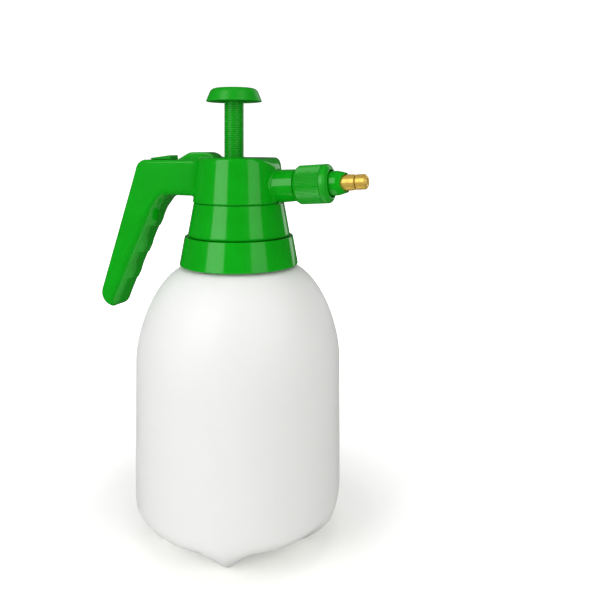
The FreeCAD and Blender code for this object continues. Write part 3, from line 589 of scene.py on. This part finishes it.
# ---- thumb lever and its lock -------------------------------------------------------------------
LEVER_OUTLINE = rounded_outline([
    (-13.3, 242.9, 2.5),
    (-13.3, 250.6, 2.5),
    (-20.0, 256.5, 11.0),
    (-36.0, 256.4, 9.0),
    (-45.8, 251.3, 2.0),
    (-48.6, 250.9, 0.3),
    (-48.6, 249.7, 0.0),
    (-45.4, 249.7, 0.4),
    (-45.4, 243.05, 0.6),
])
LOCK_OUTLINE = rounded_outline([
    (-52.3, 251.1, 0.2),
    (-52.6, 254.3, 0.8),
    (-69.0, 252.2, 0.6),
    (-69.2, 251.1, 0.2),
])
TONGUE_OUTLINE = rounded_outline([
    (-49.5, 247.2, 0.2),
    (-49.5, 249.4, 0.2),
    (-52.5, 249.4, 0.0),
    (-52.5, 251.2, 0.0),
    (-68.2, 251.2, 0.2),
    (-68.2, 247.2, 0.2),
])


def lever_field(x, y, z):
    """Thumb lever, hollow underneath, with the hole for its pivot."""
    half = LEVER_HIGH.y
    body = round_max(outline_distance(LEVER_OUTLINE, x, z), np.abs(y) - half, LEVER_EDGE)
    hollow = np.maximum(np.abs(y) - half + LEVER_WALL, z - LEVER_HOLLOW_TOP_Z)
    hollow = np.maximum(between(x, LEVER_HOLLOW_X), hollow)
    hole = np.hypot(x - PIVOT.x, z - PIVOT.z) - LEVER_HOLE_R
    body = carve(body, hollow, LEVER_HOLLOW_EDGE)
    return carve(body, hole, LEVER_HOLE_EDGE)


def lock_field(x, y, z):
    """Sliding button with grip grooves across its top, on a tongue that runs in the slot."""
    wedge = round_max(outline_distance(LOCK_OUTLINE, x, z), np.abs(y) - LOCK_HIGH.y, LOCK_EDGE)
    for i in range(GROOVE_COUNT):
        groove_x = GROOVE_START[0] - GROOVE_STEP * i
        groove_z = GROOVE_START[1] - GROOVE_STEP * i * GROOVE_CLIMB
        groove = np.hypot(x - groove_x, z - groove_z) - GROOVE_R
        wedge = carve(wedge, groove, GROOVE_EDGE)
    aside = np.abs(y) - TONGUE_HALF
    tongue = round_max(outline_distance(TONGUE_OUTLINE, x, z), aside, TONGUE_EDGE)
    return np.minimum(wedge, tongue)


def make_lever(material):
    add_moulding("thumb_lever", lever_field, LEVER_LOW, LEVER_HIGH, LEVER_VOXEL, material,
                 "trigger", ["trigger_lever"])


def make_lock(material):
    add_moulding("lock_button", lock_field, LOCK_LOW, LOCK_HIGH, LOCK_VOXEL, material,
                 "lock_slide", ["lock_slide"])


# ---- bottle -------------------------------------------------------------------------------------
def bottle_profile(inset):
    """Radius and height from the middle of the floor, by corner, wall and shoulder, to the neck's foot."""
    angle = np.linspace(0, math.pi / 2, 34)
    corner_r = BOTTLE_R - CORNER_R + (CORNER_R - inset) * np.sin(angle) ** CORNER_ACROSS
    corner_z = BOWL_Z + inset + (CORNER_RISE - inset) * (1 - np.cos(angle) ** CORNER_UP)
    floor_r = np.linspace(0, corner_r[0], 24)[:-1]
    floor_z = BOWL_Z + inset + BOWL_DOME * (1 - floor_r / corner_r[0]) ** 2
    wall_z = np.linspace(corner_z[-1], SHOULDER_Z, 16)[1:-1]
    angle = np.radians(np.linspace(0, SHOULDER_END, 40))
    shoulder_r = CROWN_R - inset + (BOTTLE_R - CROWN_R) * np.cos(angle)
    shoulder_z = SHOULDER_Z + (SHOULDER_RISE - inset) * np.sin(angle) ** SHOULDER_FULLNESS
    radius = np.concatenate([floor_r, corner_r, np.full(wall_z.shape, BOTTLE_R - inset), shoulder_r])
    height = np.concatenate([floor_z, corner_z, wall_z, shoulder_z])
    return radius, height


def foot_depth(radius, turn, inset):
    """Share, 0 to 1, by which the nearest foot pulls the bowl down at this place."""
    spacing = 2 * math.pi / FOOT_COUNT
    swing = (turn - math.radians(FOOT_FIRST) + spacing / 2) % spacing - spacing / 2
    side = radius * np.abs(np.sin(swing))
    blunt = np.sqrt(side ** 2 + FOOT_TIP ** 2) - FOOT_TIP
    tent = np.clip(1 - blunt / (FOOT_SPREAD - inset), 0, 1) ** FOOT_FLANK
    return tent * smooth_step(radius, *FOOT_INSIDE)


def bottle_skin(inset, turns):
    """Grid of points from the floor's middle to the neck, with the feet drawn out of the bowl."""
    radius, height = bottle_profile(inset)
    drop = foot_depth(radius[:, None], turns[None, :], inset)
    full = height_at(FOOT_R, inset) - inset
    below = np.interp(radius, (FOOT_R + FOOT_FLAT, BOTTLE_R), (full, FOOT_WALL_DROP))
    low_part = np.interp(height, FOOT_FADE_Z, (1, 0))
    z = height[:, None] - drop * below[:, None] * low_part[:, None]
    z = np.maximum(z, inset)
    return np.broadcast_to(radius[:, None], z.shape), z


def height_at(radius, inset):
    radii, heights = bottle_profile(inset)
    lower = heights < SHOULDER_Z / 2
    return float(np.interp(radius, radii[lower], heights[lower]))


def thread_reach(turn, z):
    """How far the neck's thread stands out: two turns of a blunt ridge that fades at both ends."""
    turns = 2
    foot_half = 1.05
    flank = 0.5
    run_in = 1 / 20
    start_z = THREAD_LOW_Z + 1.0
    climb = (z - start_z) / NECK_PITCH
    round_about = (turn / (2 * math.pi)) % 1.0
    nearest = np.clip(np.round(climb - round_about), 0, turns - 1)
    off = np.abs(climb - round_about - nearest) * NECK_PITCH
    ridge = np.clip((foot_half - off) / flank, 0, 1)
    place = nearest + round_about
    fade = np.clip(np.minimum(place, turns - place) / run_in, 0, 1)
    return (NECK_THREAD_R - NECK_R) * ridge * fade


def bottle_rows(turns):
    """Radius and height of each ring: up the outside and the neck, over the lip, and down the inside."""
    around = len(turns)
    outer_r, outer_z = bottle_skin(0.0, turns)
    inner_r, inner_z = bottle_skin(BOTTLE_WALL, turns)
    row_step = 0.32
    neck_z = np.arange(outer_z[-1, 0] + 0.8, BOTTLE_TOP_Z - 0.5, row_step)
    neck_r = NECK_R + thread_reach(turns[None, :], neck_z[:, None])
    lip = [(NECK_R - 0.1, -0.4), (NECK_R - 0.5, 0), (MOUTH_R + 0.5, 0), (MOUTH_R, -0.5)]
    rows = list(zip(outer_r, outer_z))
    rows += [(radius, np.full(around, z)) for radius, z in zip(neck_r, neck_z)]
    rows += [(np.full(around, r), np.full(around, BOTTLE_TOP_Z + z)) for r, z in lip]
    rows.append((np.full(around, MOUTH_R), np.full(around, inner_z[-1, 0] + 1.0)))
    rows += reversed(list(zip(inner_r, inner_z)))
    return rows


def skin_points(rows, turns):
    """Points of each ring in turn, and where each ring starts; a ring of no radius is one point."""
    points = []
    ring_starts = []
    for radius, height in rows:
        ring_starts.append(len(points))
        if radius[0] == 0:
            points.append((0, 0, height[0]))
        else:
            points.extend(zip(radius * np.cos(turns), radius * np.sin(turns), height))
    return points, ring_starts


def skin_faces(ring_starts, around):
    """Faces between neighbouring rings, the first and last of which are single points."""
    faces = []
    last = len(ring_starts) - 1
    for row in range(last):
        here, ahead = ring_starts[row], ring_starts[row + 1]
        for j in range(around):
            k = (j + 1) % around
            if row == 0:
                faces.append((here, ahead + k, ahead + j))
            elif row + 1 == last:
                faces.append((here + j, here + k, ahead))
            else:
                faces.append((here + j, here + k, ahead + k, ahead + j))
    return faces


def make_bottle(material):
    around = 240
    turns = 2 * math.pi * np.arange(around) / around
    points, ring_starts = skin_points(bottle_rows(turns), turns)
    faces = skin_faces(ring_starts, around)
    add_mesh("bottle_shell", points, faces, material, "bottle", ["bottle"])


# ---- materials ----------------------------------------------------------------------------------
class Nodes:
    """Short calls for building one material's node tree."""

    def __init__(self, name):
        self.material = bpy.data.materials.new(name)
        self.material.use_nodes = True
        self.tree = self.material.node_tree
        self.shader = self.tree.nodes["Principled BSDF"]
        self.place = self.add("ShaderNodeTexCoord").outputs["Object"]

    def add(self, kind, **settings):
        node = self.tree.nodes.new(kind)
        for key, value in settings.items():
            setattr(node, key, value)
        return node

    def link(self, source, target):
        self.tree.links.new(source, target)

    def feed(self, socket, value):
        if isinstance(value, bpy.types.NodeSocket):
            self.link(value, socket)
        else:
            socket.default_value = value

    def noise(self, scale, detail=4.0, rough=0.5, place=None):
        node = self.add("ShaderNodeTexNoise")
        node.inputs["Scale"].default_value = scale
        node.inputs["Detail"].default_value = detail
        node.inputs["Roughness"].default_value = rough
        self.link(place or self.place, node.inputs["Vector"])
        return node.outputs["Fac"]

    def spread(self, value, low, high, to_low, to_high):
        node = self.add("ShaderNodeMapRange")
        self.link(value, node.inputs["Value"])
        ends = {"From Min": low, "From Max": high, "To Min": to_low, "To Max": to_high}
        for socket, number in ends.items():
            node.inputs[socket].default_value = number
        return node.outputs["Result"]

    def math(self, operation, first, second=0.0):
        node = self.add("ShaderNodeMath", operation=operation)
        self.feed(node.inputs[0], first)
        self.feed(node.inputs[1], second)
        return node.outputs[0]

    def mix(self, share, first, second):
        node = self.add("ShaderNodeMix", data_type="RGBA")
        self.feed(node.inputs["Factor"], share)
        self.feed(node.inputs["A"], first)
        self.feed(node.inputs["B"], second)
        return node.outputs["Result"]

    def bump(self, height, depth_mm, under=None):
        node = self.add("ShaderNodeBump")
        node.inputs["Strength"].default_value = 1.0
        node.inputs["Distance"].default_value = depth_mm * MM
        self.link(height, node.inputs["Height"])
        if under is not None:
            self.link(under, node.inputs["Normal"])
        return node.outputs["Normal"]

    def edges(self, radius_mm):
        """0 on flat stretches, rising to 1 on edges."""
        soft = self.add("ShaderNodeBevel", samples=6)
        soft.inputs["Radius"].default_value = radius_mm * MM
        plain = self.add("ShaderNodeNewGeometry")
        dot = self.add("ShaderNodeVectorMath", operation="DOT_PRODUCT")
        self.link(soft.outputs["Normal"], dot.inputs[0])
        self.link(plain.outputs["Normal"], dot.inputs[1])
        return self.spread(dot.outputs["Value"], 0.995, 0.90, 0.0, 1.0)

    def along_spout(self, scale):
        """Noise that only changes along the spout's axis, as a turned surface does."""
        dot = self.add("ShaderNodeVectorMath", operation="DOT_PRODUCT")
        self.link(self.place, dot.inputs[0])
        dot.inputs[1].default_value = SPOUT_AXIS
        node = self.add("ShaderNodeTexNoise", noise_dimensions="1D")
        node.inputs["Scale"].default_value = scale
        node.inputs["Detail"].default_value = 3.0
        self.link(dot.outputs["Value"], node.inputs["W"])
        return node.outputs["Fac"]

    def set(self, **values):
        for key, value in values.items():
            self.feed(self.shader.inputs[key.replace("_", " ")], value)


def green_plastic(name, grain, smooth, dull):
    """Moulded polypropylene: faint flow clouding, a grain, and roughness between smooth and dull."""
    look = Nodes(name)
    clouds = look.spread(look.noise(38.0, 3.0), 0.3, 0.7, 0.0, 1.0)
    colour = look.mix(clouds, (0.0012, 0.265, 0.0035, 1), (0.002, 0.310, 0.006, 1))
    normal = look.bump(look.noise(30.0, 1.0), 0.05)
    normal = look.bump(look.noise(900.0, 2.0), grain, normal)
    rough = look.spread(look.noise(160.0, 6.0, 0.65), 0.35, 0.75, smooth, dull)
    look.set(Base_Color=colour, Roughness=rough, Normal=normal, IOR=1.49)
    return look.material


def milky_plastic():
    """Blow-moulded natural polyethylene: satin, lets light in, slightly wavy and clouded."""
    look = Nodes("milky_polyethylene")
    clouds = look.spread(look.noise(9.0, 3.0), 0.3, 0.7, 0.0, 1.0)
    colour = look.mix(clouds, (0.865, 0.88, 0.825, 1), (0.895, 0.905, 0.855, 1))
    grain = look.noise(1500.0, 3.0)
    waves = look.noise(14.0, 2.0)
    normal = look.bump(grain, 0.006, look.bump(waves, 0.35))
    rough = look.spread(look.noise(220.0, 5.0), 0.3, 0.7, 0.36, 0.46)
    look.set(Base_Color=colour, Roughness=rough, Normal=normal, IOR=1.51)
    look.set(Subsurface_Weight=0.7, Subsurface_Radius=(1.0, 1.0, 0.9), Subsurface_Scale=0.008)
    return look.material


def turned_brass():
    """Brass with turning marks round the spout's axis, a little darker in patches."""
    look = Nodes("turned_brass")
    edge = look.edges(0.15)
    patches = look.spread(look.noise(260.0, 5.0, 0.6), 0.35, 0.75, 0.0, 1.0)
    colour = look.mix(patches, (0.92, 0.62, 0.13, 1), (0.78, 0.48, 0.08, 1))
    colour = look.mix(look.math("MULTIPLY", edge, 0.5), colour, (1.0, 0.80, 0.42, 1))
    marks = look.along_spout(5200.0)
    normal = look.bump(marks, 0.006)
    rough = look.spread(look.noise(900.0, 4.0), 0.3, 0.7, 0.24, 0.36)
    look.set(Base_Color=colour, Metallic=0.6, Roughness=rough, Normal=normal)
    return look.material


def drawn_steel():
    """Bright spring wire and pin, finely mottled."""
    look = Nodes("drawn_steel")
    streaks = look.noise(1800.0, 4.0, 0.7)
    colour = look.mix(streaks, (0.55, 0.55, 0.57, 1), (0.74, 0.74, 0.75, 1))
    rough = look.spread(streaks, 0.3, 0.7, 0.22, 0.36)
    look.set(Base_Color=colour, Metallic=1.0, Roughness=rough, Normal=look.bump(streaks, 0.004))
    return look.material


def black_rubber():
    """Moulded seal rubber: matt, dusty grain."""
    look = Nodes("black_rubber")
    dust = look.noise(700.0, 6.0, 0.7)
    colour = look.mix(dust, (0.012, 0.012, 0.013, 1), (0.045, 0.044, 0.042, 1))
    rough = look.spread(dust, 0.3, 0.7, 0.55, 0.75)
    look.set(Base_Color=colour, Roughness=rough, Normal=look.bump(look.noise(1900.0, 3.0), 0.012))
    return look.material


def natural_plastic():
    """Uncoloured moulded plastic of the parts inside."""
    look = Nodes("natural_polyacetal")
    edge = look.edges(0.2)
    clouds = look.noise(90.0, 4.0)
    colour = look.mix(clouds, (0.74, 0.73, 0.68, 1), (0.84, 0.83, 0.79, 1))
    colour = look.mix(look.math("MULTIPLY", edge, 0.4), colour, (0.93, 0.93, 0.90, 1))
    rough = look.spread(look.noise(300.0, 4.0), 0.3, 0.7, 0.30, 0.42)
    look.set(Base_Color=colour, Roughness=rough, Normal=look.bump(look.noise(2000.0, 2.0), 0.005))
    look.set(Subsurface_Weight=0.2, Subsurface_Radius=(1.0, 1.0, 0.9), Subsurface_Scale=0.001)
    return look.material


def clear_hose():
    """Soft hose, pale and slightly cloudy; light goes some way into it."""
    look = Nodes("clear_hose")
    clouds = look.noise(400.0, 4.0)
    colour = look.mix(clouds, (0.72, 0.78, 0.75, 1), (0.86, 0.90, 0.88, 1))
    rough = look.spread(clouds, 0.3, 0.7, 0.18, 0.30)
    look.set(Base_Color=colour, Roughness=rough, Normal=look.bump(look.noise(900.0, 2.0), 0.01))
    look.set(Subsurface_Weight=0.4, Subsurface_Radius=(1.0, 1.0, 1.0), Subsurface_Scale=0.001)
    return look.material


WHITE = (1, 1, 1, 1)
MATERIALS = {
    "bottle_plastic": milky_plastic(),
    "green_plastic": green_plastic("green_polypropylene", 0.003, 0.09, 0.15),
    "natural_plastic": natural_plastic(),
    "clear_hose": clear_hose(),
    "rubber": black_rubber(),
    "steel": drawn_steel(),
    "brass": turned_brass(),
}
SATIN_NODES = ("plunger_knob", "pump_rod", "nozzle_nut")


def dress_nodes():
    """Gives each CAD node the finish of its slot in the record; SATIN_NODES are a duller green."""
    satin = green_plastic("satin_green_polypropylene", 0.0005, 0.27, 0.36)
    for part in frame["record"]["subparts"]:
        node = frame["nodes"][part["node"]]
        finish = satin if part["node"] in SATIN_NODES else MATERIALS[part["material_slot"]]
        for place in node.material_slots:
            place.material = finish


# ---- stage, light and camera --------------------------------------------------------------------
def stage_material():
    """Matt white near the object, fading to a plain glowing white, so that no horizon shows."""
    look = Nodes("stage_white")
    tone = look.mix(look.noise(2.0), (0.90, 0.90, 0.895, 1), (0.92, 0.92, 0.915, 1))
    look.set(Base_Color=tone, Roughness=0.9, Specular_IOR_Level=0.0)
    reach = look.add("ShaderNodeVectorMath", operation="LENGTH")
    look.link(look.place, reach.inputs[0])
    far = look.spread(reach.outputs["Value"], 0.10, 0.35, 0.14, 1.0)
    glow = look.add("ShaderNodeEmission")
    path = look.add("ShaderNodeLightPath")
    look.feed(glow.inputs["Strength"], look.math("MULTIPLY", far, path.outputs["Is Camera Ray"]))
    both = look.add("ShaderNodeAddShader")
    look.link(look.shader.outputs[0], both.inputs[0])
    look.link(glow.outputs[0], both.inputs[1])
    look.link(both.outputs[0], look.tree.nodes["Material Output"].inputs["Surface"])
    return look.material


def make_floor():
    half = 6.0
    corners = [(-half, -half, 0), (half, -half, 0), (half, half, 0), (-half, half, 0)]
    mesh = bpy.data.meshes.new("floor")
    mesh.from_pydata(corners, [], [(0, 1, 2, 3)])
    mesh.materials.append(stage_material())
    floor = bpy.data.objects.new("floor", mesh)
    floor.visible_glossy = False
    bpy.context.scene.collection.objects.link(floor)


def camera_directions():
    turn = math.radians(CAMERA_TURN)
    right = Vector((math.cos(turn), math.sin(turn), 0))
    away = Vector((-math.sin(turn), math.cos(turn), 0))
    return right, away


def lamp(name, bearing, low, high, distance, wide, watts, tint=(1, 1, 1)):
    """Upright area light, in metres and watts, at a bearing in degrees to the right of the camera."""
    right, away = camera_directions()
    swing = math.radians(bearing)
    reach = (right * math.sin(swing) - away * math.cos(swing)) * distance
    data = bpy.data.lights.new(name, "AREA")
    data.shape = "RECTANGLE"
    data.size = wide
    data.size_y = high - low
    data.energy = watts
    data.color = tint
    light = bpy.data.objects.new(name, data)
    light.location = AXIS_FOOT * MM + reach + Vector((0, 0, (low + high) / 2))
    light.rotation_euler = (-reach).to_track_quat("-Z", "Y").to_euler()
    light.visible_camera = False
    bpy.context.scene.collection.objects.link(light)
    return light


def panel(*settings):
    """A lamp that only shows as a reflection."""
    light = lamp(*settings)
    light.visible_diffuse = False
    light.visible_transmission = False


def fill(*settings):
    """A lamp that only lights surfaces, and isn't reflected."""
    light = lamp(*settings)
    light.visible_glossy = False
    return light


def make_world():
    """White to the camera, soft light for surfaces, and dim in reflections."""
    on_surfaces = 0.42
    to_camera = 1.12
    in_reflections = 0.07
    world = bpy.data.worlds.new("studio")
    world.use_nodes = True
    tree = world.node_tree
    shade = tree.nodes["Background"]
    shade.inputs["Color"].default_value = WHITE
    path = tree.nodes.new("ShaderNodeLightPath")
    seen = tree.nodes.new("ShaderNodeMath")
    seen.operation = "MULTIPLY_ADD"
    seen.inputs[1].default_value = to_camera - on_surfaces
    seen.inputs[2].default_value = on_surfaces
    tree.links.new(path.outputs["Is Camera Ray"], seen.inputs[0])
    dim = tree.nodes.new("ShaderNodeMath")
    dim.operation = "MULTIPLY_ADD"
    dim.inputs[1].default_value = in_reflections - on_surfaces
    tree.links.new(path.outputs["Is Glossy Ray"], dim.inputs[0])
    tree.links.new(seen.outputs[0], dim.inputs[2])
    tree.links.new(dim.outputs[0], shade.inputs["Strength"])
    bpy.context.scene.world = world


def make_lights():
    """Two tall panels for the stripes on the round parts, a narrow one for the far rim, and soft fill."""
    panel("panel_left", -42, 0.28, 1.75, 1.3, 0.82, 7.5)
    panel("panel_right", 44, 0.28, 1.75, 1.3, 0.72, 3.3)
    panel("panel_rim", 140, 0.10, 1.20, 1.3, 0.40, 1.6)
    fill("fill_left", -50, 0.10, 1.30, 1.3, 0.90, 13)
    fill("fill_right", 35, 0.10, 1.30, 1.3, 0.90, 9.5, (1, 0.985, 0.96))
    overhead = fill("fill_overhead", 0, 1.5, 2.7, 0.001, 1.2, 10)
    overhead.rotation_euler = (0, 0, 0)


def shift_picture(camera):
    """Shifts the picture down while the camera is on its stand; from any other place it is unshifted."""
    stand = bpy.data.objects.new("camera_stand", None)
    stand.location = camera.location
    bpy.context.scene.collection.objects.link(stand)
    curve = camera.data.driver_add("shift_y")
    for modifier in list(curve.modifiers):
        curve.modifiers.remove(modifier)
    curve.driver.type = "SUM"
    away = curve.driver.variables.new()
    away.type = "LOC_DIFF"
    for target, one in zip(away.targets, (camera, stand)):
        target.id = one
        target.transform_space = "WORLD_SPACE"
    for metres, shift in ((0.0, CAMERA_SHIFT), (0.02, 0.0)):
        key = curve.keyframe_points.insert(metres, shift)
        key.interpolation = "LINEAR"


def make_camera():
    """Level camera whose picture is shifted down, as in a product photograph."""
    right, away = camera_directions()
    data = bpy.data.cameras.new("camera")
    data.sensor_width = 36.0
    data.lens = CAMERA_LENS
    camera = bpy.data.objects.new("camera", data)
    stand = AXIS_FOOT + right * CAMERA_ASIDE - away * CAMERA_BACK + Vector((0, 0, CAMERA_HEIGHT))
    camera.location = stand * MM
    camera.rotation_euler = (math.pi / 2, 0, math.radians(CAMERA_TURN))
    bpy.context.scene.collection.objects.link(camera)
    bpy.context.scene.camera = camera
    shift_picture(camera)


def set_view():
    scene = bpy.context.scene
    scene.view_settings.view_transform = "Standard"
    scene.view_settings.look = "None"
    scene.cycles.use_denoising = True


# ---- everything ---------------------------------------------------------------------------------
GREEN = MATERIALS["green_plastic"]
dress_nodes()
make_bottle(MATERIALS["bottle_plastic"])
make_head(GREEN)
make_spout_thread(GREEN)
make_lever(GREEN)
make_lock(GREEN)
make_spring(MATERIALS["steel"])
make_floor()
make_world()
make_lights()
make_camera()
set_view()

bpy.context.view_layer.update()
